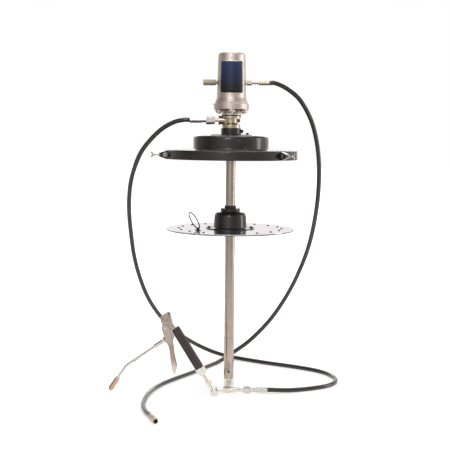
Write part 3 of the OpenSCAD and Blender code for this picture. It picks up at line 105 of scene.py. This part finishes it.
def tube(line, radius, sides):
    """Points and faces of a closed tube round a line, its rings carried along without a twist."""
    verts, faces = [], []
    way = (line[1] - line[0]).normalized()
    side = way.orthogonal().normalized()
    for i, centre in enumerate(line):
        way = (line[min(i + 1, len(line) - 1)] - line[max(i - 1, 0)]).normalized()
        side = (side - side.dot(way) * way).normalized()
        other = way.cross(side)
        for k in range(sides):
            t = 2 * math.pi * k / sides
            verts.append(centre + radius * (math.cos(t) * side + math.sin(t) * other))
    for i in range(len(line) - 1):
        for k in range(sides):
            a, b = i * sides + k, i * sides + (k + 1) % sides
            faces.append((a, b, b + sides, a + sides))
    last = (len(line) - 1) * sides
    faces.append(tuple(range(sides - 1, -1, -1)))
    faces.append(tuple(last + k for k in range(sides)))
    return verts, faces


def hose(name, node, route):
    line = smooth(route)
    verts, faces = tube(line, HOSE_R, HOSE_SIDES)
    mesh = bpy.data.meshes.new(name)
    mesh.from_pydata([tuple(v) for v in verts], [], faces)
    for polygon in mesh.polygons:
        polygon.use_smooth = len(polygon.vertices) == 4
    obj = bpy.data.objects.new(name, mesh)
    scene.collection.objects.link(obj)
    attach(obj, "pump")
    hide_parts(node)
    return obj


grease = hose("grease_hose_cover", "grease_hose", GREASE_ROUTE)
air = hose("air_hose_cover", "air_hose", AIR_ROUTE)


class Graph:
    """Short calls for the nodes that the materials and the room's light are made of."""

    def __init__(self, tree):
        self.tree = tree
        self.where = tree.nodes.new("ShaderNodeTexCoord")

    def new(self, kind, **props):
        node = self.tree.nodes.new(kind)
        for key, value in props.items():
            setattr(node, key, value)
        return node

    def link(self, a, b):
        self.tree.links.new(a, b)

    def ramp(self, factor, stops):
        node = self.new("ShaderNodeValToRGB")
        elements = node.color_ramp.elements
        while len(elements) < len(stops):
            elements.new(0.5)
        for element, (place, colour) in zip(elements, stops):
            element.position = place
            element.color = (*colour, 1)
        self.link(factor, node.inputs["Fac"])
        return node.outputs["Color"]

    def spread(self, factor, low, high, start=0.3, end=0.7):
        """The factor's range from start to end, spread over low to high."""
        node = self.new("ShaderNodeMapRange")
        for key, value in (("From Min", start), ("From Max", end),
                           ("To Min", low), ("To Max", high)):
            node.inputs[key].default_value = value
        self.link(factor, node.inputs["Value"])
        return node.outputs["Result"]

    def height(self, vector):
        node = self.new("ShaderNodeSeparateXYZ")
        self.link(vector, node.inputs["Vector"])
        return node.outputs["Z"]


class Shader(Graph):
    """A node material with object-space texture coordinates."""

    def __init__(self, name):
        self.mat = bpy.data.materials.new(name)
        self.mat.use_nodes = True
        super().__init__(self.mat.node_tree)
        self.bsdf = self.tree.nodes["Principled BSDF"]
        self.coords = self.where.outputs["Object"]

    def set(self, **values):
        for key, value in values.items():
            self.bsdf.inputs[key.replace("_", " ")].default_value = value
        return self

    def feed(self, socket, source):
        self.link(source, self.bsdf.inputs[socket])

    def stretched(self, scale):
        node = self.new("ShaderNodeMapping")
        node.inputs["Scale"].default_value = scale
        self.link(self.coords, node.inputs["Vector"])
        return node.outputs["Vector"]

    def noise(self, vector, scale, detail=4, rough=0.55):
        node = self.new("ShaderNodeTexNoise")
        node.inputs["Scale"].default_value = scale
        node.inputs["Detail"].default_value = detail
        node.inputs["Roughness"].default_value = rough
        self.link(vector, node.inputs["Vector"])
        return node.outputs["Fac"]

    def bump(self, height, strength, distance, below=None):
        node = self.new("ShaderNodeBump")
        node.inputs["Strength"].default_value = strength
        node.inputs["Distance"].default_value = distance
        self.link(height, node.inputs["Height"])
        if below is not None:
            self.link(below, node.inputs["Normal"])
        return node.outputs["Normal"]


def brighter(colour, times):
    return tuple(c * times for c in colour)


def metal(name, base, rough, vary=0.12, grain=(700, 700, 14), cast=0.0, stain=None, patch=38):
    """Metal with brushed or cast grain, faint stains and uneven gloss.

    grain and patch are noise scales, grain one for each axis; vary is how much patches differ.
    """
    s = Shader(name).set(Metallic=1.0)
    stops = [(0.3, brighter(base, 1 - vary)), (0.5, base),
             (0.72, tuple(min(1, c * (1 + vary * 0.6)) for c in base))]
    if stain:
        stops = [(0.2, stain)] + stops
    s.feed("Base Color", s.ramp(s.noise(s.coords, patch, 5), stops))
    fine = s.noise(s.stretched(grain), 1.0, 3, 0.6)
    s.feed("Roughness", s.spread(fine, rough * 0.8, min(1, rough * 1.25)))
    normal = s.bump(fine, 0.12, 0.0002)
    if cast:
        normal = s.bump(s.noise(s.coords, 1500, 4, 0.65), cast, 0.0006, normal)
    s.feed("Normal", normal)
    return s.mat


def lever_metal():
    """Pressed lever: grey at the pivot, brown in the middle and pale grey at the tip."""
    pivot_z, tip_z = -0.45, -0.59
    ragged = 0.03   # metres that the border between the colours wanders
    s = Shader("lever_steel").set(Metallic=1.0)
    wavy_z = s.new("ShaderNodeMath", operation="MULTIPLY_ADD")
    wavy_z.inputs[1].default_value = ragged
    s.link(s.noise(s.coords, 70, 5), wavy_z.inputs[0])
    s.link(s.height(s.coords), wavy_z.inputs[2])
    down = s.spread(wavy_z.outputs["Value"], 1, 0, tip_z, pivot_z)
    s.feed("Base Color", s.ramp(down, [
        (0.0, (0.6, 0.55, 0.51)), (0.35, (0.58, 0.49, 0.43)), (0.5, (0.46, 0.35, 0.28)),
        (0.75, (0.5, 0.37, 0.29)), (0.9, (0.78, 0.72, 0.68))]))
    fine = s.noise(s.stretched((120, 120, 60)), 1.0, 3, 0.6)
    s.feed("Roughness", s.spread(fine, 0.14, 0.26))
    s.feed("Normal", s.bump(fine, 0.15, 0.0002))
    return s.mat


def paint(name, base, rough, coat=0.4, dust=(0.12, 0.11, 0.11)):
    """Black gloss paint with orange peel, faint dust and uneven gloss."""
    s = Shader(name).set(Metallic=0.0, Coat_Weight=coat, Coat_Roughness=0.12,
                         Specular_IOR_Level=0.5)
    broad = s.noise(s.coords, 26, 6, 0.6)
    s.feed("Base Color", s.ramp(broad, [(0.35, base), (0.62, brighter(base, 1.35)),
                                        (0.85, dust)]))
    s.feed("Roughness", s.spread(broad, rough * 0.8, rough * 1.3))
    s.feed("Normal", s.bump(s.noise(s.coords, 420, 3, 0.5), 0.18, 0.0006))
    return s.mat


def rubber(name, base, rough, grain=900, depth=0.35, sheen=0.15, coat=0.0):
    """Rubber or dull plastic: fine moulded grain of the given depth and a pale bloom."""
    s = Shader(name).set(Metallic=0.0, Specular_IOR_Level=0.45, Sheen_Weight=sheen,
                         Sheen_Roughness=0.5, Coat_Weight=coat, Coat_Roughness=0.1)
    broad = s.noise(s.coords, 45, 5, 0.6)
    s.feed("Base Color", s.ramp(broad, [(0.3, base), (0.6, brighter(base, 1.3)),
                                        (0.8, brighter(base, 1.9))]))
    s.feed("Roughness", s.spread(broad, rough * 0.85, min(1, rough * 1.2)))
    s.feed("Normal", s.bump(s.noise(s.coords, grain, 3, 0.6), depth, 0.0004))
    return s.mat


def label_blue():
    """Label field: blue that darkens to black at its foot."""
    foot_z, top_z = 0.165, 0.249
    s = Shader("label_blue").set(Metallic=0.0, Specular_IOR_Level=0.35)
    up = s.spread(s.height(s.coords), 0, 1, foot_z, top_z)
    s.feed("Base Color", s.ramp(up, [
        (0.0, (0.01, 0.01, 0.011)), (0.16, (0.011, 0.011, 0.015)),
        (0.42, (0.014, 0.022, 0.062)), (1.0, (0.018, 0.04, 0.13))]))
    s.feed("Roughness", s.spread(s.noise(s.coords, 60, 4), 0.38, 0.52))
    s.feed("Normal", s.bump(s.noise(s.coords, 500, 2), 0.06, 0.0003))
    return s.mat


LOOKS = {
    "black_steel": paint("black_paint", (0.0135, 0.0108, 0.0103), 0.2),
    "black_rubber": rubber("black_rubber", (0.016, 0.0135, 0.013), 0.42),
    "bell_rubber": paint("bell_gloss", (0.0165, 0.0125, 0.0115), 0.16, coat=0.35),
    "ring_paint": paint("ring_black", (0.009, 0.008, 0.008), 0.5, coat=0.0),
    "grip_rubber": rubber("grip_rubber", (0.046, 0.034, 0.032), 0.34, grain=700, depth=0.5,
                          sheen=0.0),
    "hose_rubber": rubber("hose_rubber", (0.02, 0.0165, 0.0165), 0.16, grain=1300, depth=0.06,
                          sheen=0.0, coat=0.7),
    "black_oxide": metal("black_oxide", (0.045, 0.045, 0.05), 0.4, 0.2),
    "cast_aluminium": metal("cast_aluminium", (0.69, 0.61, 0.55), 0.4, 0.1,
                            grain=(120, 120, 120), cast=0.35),
    "zinc": metal("yellow_zinc", (0.62, 0.53, 0.4), 0.3, 0.16, grain=(90, 90, 500),
                  stain=(0.5, 0.42, 0.27)),
    "brass": metal("brass", (0.68, 0.59, 0.45), 0.26, 0.12, grain=(90, 600, 600)),
    "plated_steel": metal("plated_steel", (0.74, 0.72, 0.68), 0.24, 0.1,
                          grain=(300, 300, 300)),
    "tube_steel": metal("tube_steel", (0.53, 0.465, 0.4), 0.2, 0.1, grain=(900, 900, 9),
                        stain=(0.48, 0.41, 0.34)),
    "low_tube": metal("low_tube", (0.565, 0.475, 0.4), 0.2, 0.12, grain=(900, 900, 9),
                      stain=(0.5, 0.4, 0.32)),
    "bright_steel": metal("bright_steel", (0.86, 0.84, 0.81), 0.14, 0.05,
                          grain=(700, 700, 12)),
    "mirror_steel": metal("mirror_steel", (0.76, 0.75, 0.84), 0.09, 0.03, grain=(60, 60, 60)),
    "bronze_muffler": metal("bronze_muffler", (0.42, 0.37, 0.32), 0.5, 0.3,
                            grain=(90, 900, 900), cast=0.8),
    "valve_metal": metal("valve_metal", (0.6, 0.61, 0.63), 0.3, 0.1),
    "spool_plastic": rubber("spool_plastic", (0.62, 0.58, 0.5), 0.4, grain=1200, depth=0.1,
                            sheen=0.0),
    "gun_casting": metal("gun_casting", (0.5, 0.425, 0.37), 0.22, 0.35, grain=(160, 160, 160),
                         cast=0.35, stain=(0.3, 0.22, 0.17), patch=120),
    "fitting_steel": metal("fitting_steel", (0.87, 0.83, 0.75), 0.15, 0.2,
                           grain=(200, 200, 200), patch=110),
    "lever_steel": lever_metal(),
    "copper_plate": metal("copper_plate", (0.66, 0.5, 0.4), 0.18, 0.35, grain=(300, 300, 300),
                          stain=(0.3, 0.18, 0.12), patch=170),
}
# CAD parts whose look isn't the one of their slot
OWN_LOOKS = {
    "follower_hub": "bell_rubber", "pull_ring": "ring_paint", "adapter_screw": "black_oxide",
    "grip_sleeve": "grip_rubber", "valve_body": "gun_casting", "inline_swivel": "fitting_steel",
    "pump_cylinder": "low_tube", "foot_sleeve": "low_tube", "gun_stem": "fitting_steel",
    "handle_tube": "fitting_steel", "extension_tube": "fitting_steel"}
for entry in frame["record"]["subparts"]:
    name = entry["node"]
    materials = NODES[name].data.materials
    materials.clear()
    materials.append(LOOKS[OWN_LOOKS.get(name, entry["material_slot"])])
for cover in (grease, air):
    cover.data.materials.append(LOOKS["hose_rubber"])


def piece(name, verts, faces, body, look):
    mesh = bpy.data.meshes.new(name)
    mesh.from_pydata([tuple(v) for v in verts], [], faces)
    mesh.validate()
    for polygon in mesh.polygons:
        polygon.use_smooth = True
    obj = bpy.data.objects.new(name, mesh)
    scene.collection.objects.link(obj)
    mesh.materials.append(look)
    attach(obj, body)


# Bare label band on the front of the motor: a light frame with a dark field on it.
# Angles in degrees, heights and corners in millimetres, lift and thickness in metres.
MOTOR_FOOT_Z, MOTOR_H = 149, 121.5
MOTOR_FOOT_R, MOTOR_TAPER = 40.4, 3.2
LABEL_R = 39            # motor's mean radius behind the label
LABEL_AT = -90          # middle of the label, from the x axis
LABEL_COLUMNS, LABEL_ROWS = 36, 14


def motor_radius(z):
    return (MOTOR_FOOT_R - (z - MOTOR_FOOT_Z) / MOTOR_H * MOTOR_TAPER) / MM_IN_M


def label_patch(name, half_angle, low, high, corner, lift, thick, look):
    """A thin plate bent round the motor, with rounded corners."""
    columns, rows = LABEL_COLUMNS, LABEL_ROWS
    verts, faces = [], []
    for proud in (lift + thick, lift):
        for i in range(columns + 1):
            a = -half_angle + 2 * half_angle * i / columns
            edge = (half_angle - abs(a)) * math.radians(1) * LABEL_R
            inset = 0
            if edge < corner:
                inset = corner - math.sqrt(max(0, corner ** 2 - (corner - edge) ** 2))
            for j in range(rows + 1):
                z = low + inset + (high - low - 2 * inset) * j / rows
                r = motor_radius(z) + proud
                t = math.radians(LABEL_AT + a)
                verts.append((r * math.cos(t), r * math.sin(t), z / MM_IN_M))
    n = (columns + 1) * (rows + 1)
    for i in range(columns):
        for j in range(rows):
            a = i * (rows + 1) + j
            b = a + rows + 1
            faces.append((a, b, b + 1, a + 1))
            faces.append((n + a, n + a + 1, n + b + 1, n + b))
    rim = ([i * (rows + 1) for i in range(columns + 1)]
           + [columns * (rows + 1) + j for j in range(1, rows + 1)]
           + [i * (rows + 1) + rows for i in range(columns - 1, -1, -1)]
           + [j for j in range(rows - 1, 0, -1)])
    for a, b in zip(rim, rim[1:] + rim[:1]):
        faces.append((a, n + a, n + b, b))
    piece(name, verts, faces, "pump", look)


label_patch("label_frame", 50, 160.8, 247.6, 4.2, 0.00005, 0.0002, LOOKS["plated_steel"])
label_patch("label_field", 48.3, 162.2, 246.2, 3.4, 0.0001, 0.0003, label_blue())

# Clamp screws' threads, each a ridge wound on the rod; the profile is in pitches and depths
CLAMP_ANGLES = (-43, -163, 77)
CLAMP_Z = -0.008
THREAD_START, THREAD_END = 0.2042, 0.2150   # distances from the pump's axis
THREAD_R = 0.00195
THREAD_PITCH = 0.0011
THREAD_DEPTH = 0.00022
STEPS_A_TURN = 14
RIDGE_FOOT, RIDGE_CREST = 0.42, 0.1         # half widths
RIDGE_SUNK = -0.3                           # the foot lies under the rod's surface


def thread(name, a, b, radius, pitch, depth, body, look):
    axis = (b - a).normalized()
    side = axis.orthogonal().normalized()
    other = axis.cross(side)
    steps = int((b - a).length / pitch * STEPS_A_TURN)
    verts, faces = [], []
    for i in range(steps + 1):
        t = i / STEPS_A_TURN
        out = side * math.cos(2 * math.pi * t) + other * math.sin(2 * math.pi * t)
        centre = a + axis * (pitch * t)
        crest = min(1, i / STEPS_A_TURN, (steps - i) / STEPS_A_TURN)    # fades in and out
        for along, up in ((-RIDGE_FOOT, RIDGE_SUNK), (-RIDGE_CREST, crest),
                          (RIDGE_CREST, crest), (RIDGE_FOOT, RIDGE_SUNK)):
            verts.append(centre + axis * (pitch * along) + out * (radius + depth * up))
    for i in range(steps):
        for k in range(4):
            p, q = 4 * i + k, 4 * i + (k + 1) % 4
            faces.append((p, q, q + 4, p + 4))
    faces.append((3, 2, 1, 0))
    last = 4 * steps
    faces.append((last, last + 1, last + 2, last + 3))
    piece(name, verts, faces, body, look)


for i, angle in enumerate(CLAMP_ANGLES, 1):
    way = Vector((math.cos(math.radians(angle)), math.sin(math.radians(angle)), 0))
    lift = Vector((0, 0, CLAMP_Z))
    thread("clamp_thread_%d" % i, way * THREAD_START + lift, way * THREAD_END + lift, THREAD_R,
           THREAD_PITCH, THREAD_DEPTH, "clamp_%d" % i, LOOKS["plated_steel"])

# Black rubber washer with a raised lip at the bottom of the air end fitting's mouth: partly a seal,
# and partly painted shade that makes the bore read dark.
# Its profile is given as radius and distance along the hose's last stretch.
BORE_SHADE_FROM_HOSE = 0.032
BORE_SHADE_SIDES = 28
BORE_SHADE_PROFILE = [(0.0012, 0.0003), (0.0055, 0.0003), (0.0055, 0.0011), (0.0051, 0.0014),
                (0.0044, 0.0012), (0.0012, 0.001)]


def bore_shade_washer(name, route, profile, sides, look):
    points = [Vector(v) / MM_IN_M for v in route[-2:]]
    way = (points[1] - points[0]).normalized()
    side = way.orthogonal().normalized()
    other = way.cross(side)
    verts, faces = [], []
    for out, along in profile:
        centre = points[1] + way * (BORE_SHADE_FROM_HOSE + along)
        for k in range(sides):
            t = 2 * math.pi * k / sides
            verts.append(centre + out * (math.cos(t) * side + math.sin(t) * other))
    for i in range(len(profile)):
        for k in range(sides):
            a, b = i * sides + k, i * sides + (k + 1) % sides
            c, d = [(v + sides) % (sides * len(profile)) for v in (b, a)]
            faces.append((a, b, c, d))
    piece(name, verts, faces, "pump", look)


# Painted shade: the black washer darkens the air end fitting's bore.
bore_shade_washer("air_bore_shade_washer", AIR_ROUTE, BORE_SHADE_PROFILE, BORE_SHADE_SIDES, LOOKS["black_rubber"])

# Floor: white, with a glow by the distance from the frame's origin, which is above the floor.
# The camera sees more of it far away, so that shadows fade; the metal sees more of it close by.
FLOOR_Z = -0.670
FLOOR_CORNERS = [(-14, -9), (14, -9), (14, 19), (-14, 19)]
GLOW_ON_METAL = (0.42, 0.0, 0.55, 1.1)      # strength near and far, then the two distances
GLOW_SEEN = (0.47, 1.0, 0.75, 2.2)

floor_mesh = bpy.data.meshes.new("floor")
floor_mesh.from_pydata([(x, y, FLOOR_Z) for x, y in FLOOR_CORNERS], [], [(0, 1, 2, 3)])
floor = bpy.data.objects.new("floor", floor_mesh)
scene.collection.objects.link(floor)
floor_look = Shader("floor_white").set(Base_Color=(0.8, 0.8, 0.8, 1), Roughness=0.9,
                                       Specular_IOR_Level=0.1, Emission_Color=(1, 1, 1, 1))
reach = floor_look.new("ShaderNodeVectorMath", operation="LENGTH")
floor_look.link(floor_look.coords, reach.inputs[0])
seen = floor_look.new("ShaderNodeMapRange")
floor_look.link(floor_look.spread(reach.outputs["Value"], *GLOW_ON_METAL), seen.inputs["To Min"])
floor_look.link(floor_look.new("ShaderNodeLightPath").outputs["Is Camera Ray"],
                seen.inputs["Value"])
floor_look.link(floor_look.spread(reach.outputs["Value"], *GLOW_SEEN), seen.inputs["To Max"])
floor_look.feed("Emission Strength", seen.outputs["Result"])
floor_mesh.materials.append(floor_look.mat)

# Room: plain white behind the object, and walls with soft bands for all that reflects them.
# Round the room 0.5 is the camera's side, 0.25 the left, 0.75 the right, 0 and 1 behind.
WALLS = [(0.0, 1.0), (0.09, 0.8), (0.16, 0.6), (0.22, 0.4), (0.3, 0.18), (0.36, 0.5),
         (0.42, 0.85), (0.46, 1.15), (0.51, 0.7), (0.545, 0.5), (0.59, 0.42), (0.65, 0.6),
         (0.71, 0.95), (0.84, 1.0), (0.92, 0.85), (1.0, 1.0)]
# Upwards 0.5 is the horizon and 1 straight up: a dark band over the walls
CEILING = [(0.0, 1.0), (0.67, 1.0), (0.74, 0.35), (0.82, 0.35), (0.88, 0.95), (1.0, 1.0)]
WARM_WHITE = (1, 0.975, 0.96)
ROOM_STRENGTH = 0.95


def warm(stops):
    return [(place, brighter(WARM_WHITE, value)) for place, value in stops]


world = bpy.data.worlds.new("world")
world.use_nodes = True
scene.world = world
room = Graph(world.node_tree)
backdrop = room.tree.nodes["Background"]
backdrop.inputs["Color"].default_value = (1, 1, 1, 1)
backdrop.inputs["Strength"].default_value = 1.0
direction = room.where.outputs["Generated"]
turned = room.new("ShaderNodeMapping")
turned.inputs["Rotation"].default_value = (0, 0, math.radians(90))
room.link(direction, turned.inputs["Vector"])
around = room.new("ShaderNodeTexGradient", gradient_type="RADIAL")
room.link(turned.outputs["Vector"], around.inputs["Vector"])
both = room.new("ShaderNodeVectorMath", operation="MULTIPLY")
room.link(room.ramp(around.outputs["Fac"], warm(WALLS)), both.inputs[0])
room.link(room.ramp(room.spread(room.height(direction), 0, 1, -1, 1), warm(CEILING)),
          both.inputs[1])
soft = room.new("ShaderNodeBackground")
soft.inputs["Strength"].default_value = ROOM_STRENGTH
room.link(both.outputs["Vector"], soft.inputs["Color"])
mix = room.new("ShaderNodeMixShader")
room.link(room.new("ShaderNodeLightPath").outputs["Is Camera Ray"], mix.inputs["Fac"])
room.link(soft.outputs["Background"], mix.inputs[1])
room.link(backdrop.outputs["Background"], mix.inputs[2])
room.link(mix.outputs["Shader"], room.tree.nodes["World Output"].inputs["Surface"])

# Lamps: name, place, aim, size and power in watts
LAMPS = [
    ("right", (2.5, 0.1, 0.1), (0, 0, 0.1), (0.6, 2.2), 14),
    ("front", (-0.42, -2.55, 1.4), (0, 0, -0.2), (0.8, 1.2), 19),
    ("top", (0, 0.1, 2.6), (0, 0, 0), (2.2, 2.2), 22),
    ("back", (0, 3.0, 1.1), (0, 0, -0.3), (2.4, 1.2), 22)]
for name, place, aim, size, power in LAMPS:
    lamp_data = bpy.data.lights.new(name, "AREA")
    lamp_data.shape = "RECTANGLE"
    lamp_data.size, lamp_data.size_y = size
    lamp_data.energy = power
    lamp = bpy.data.objects.new(name, lamp_data)
    lamp.location = place
    lamp.rotation_euler = (Vector(aim) - Vector(place)).to_track_quat("-Z", "Y").to_euler()
    scene.collection.objects.link(lamp)
scene.view_settings.view_transform = "Standard"
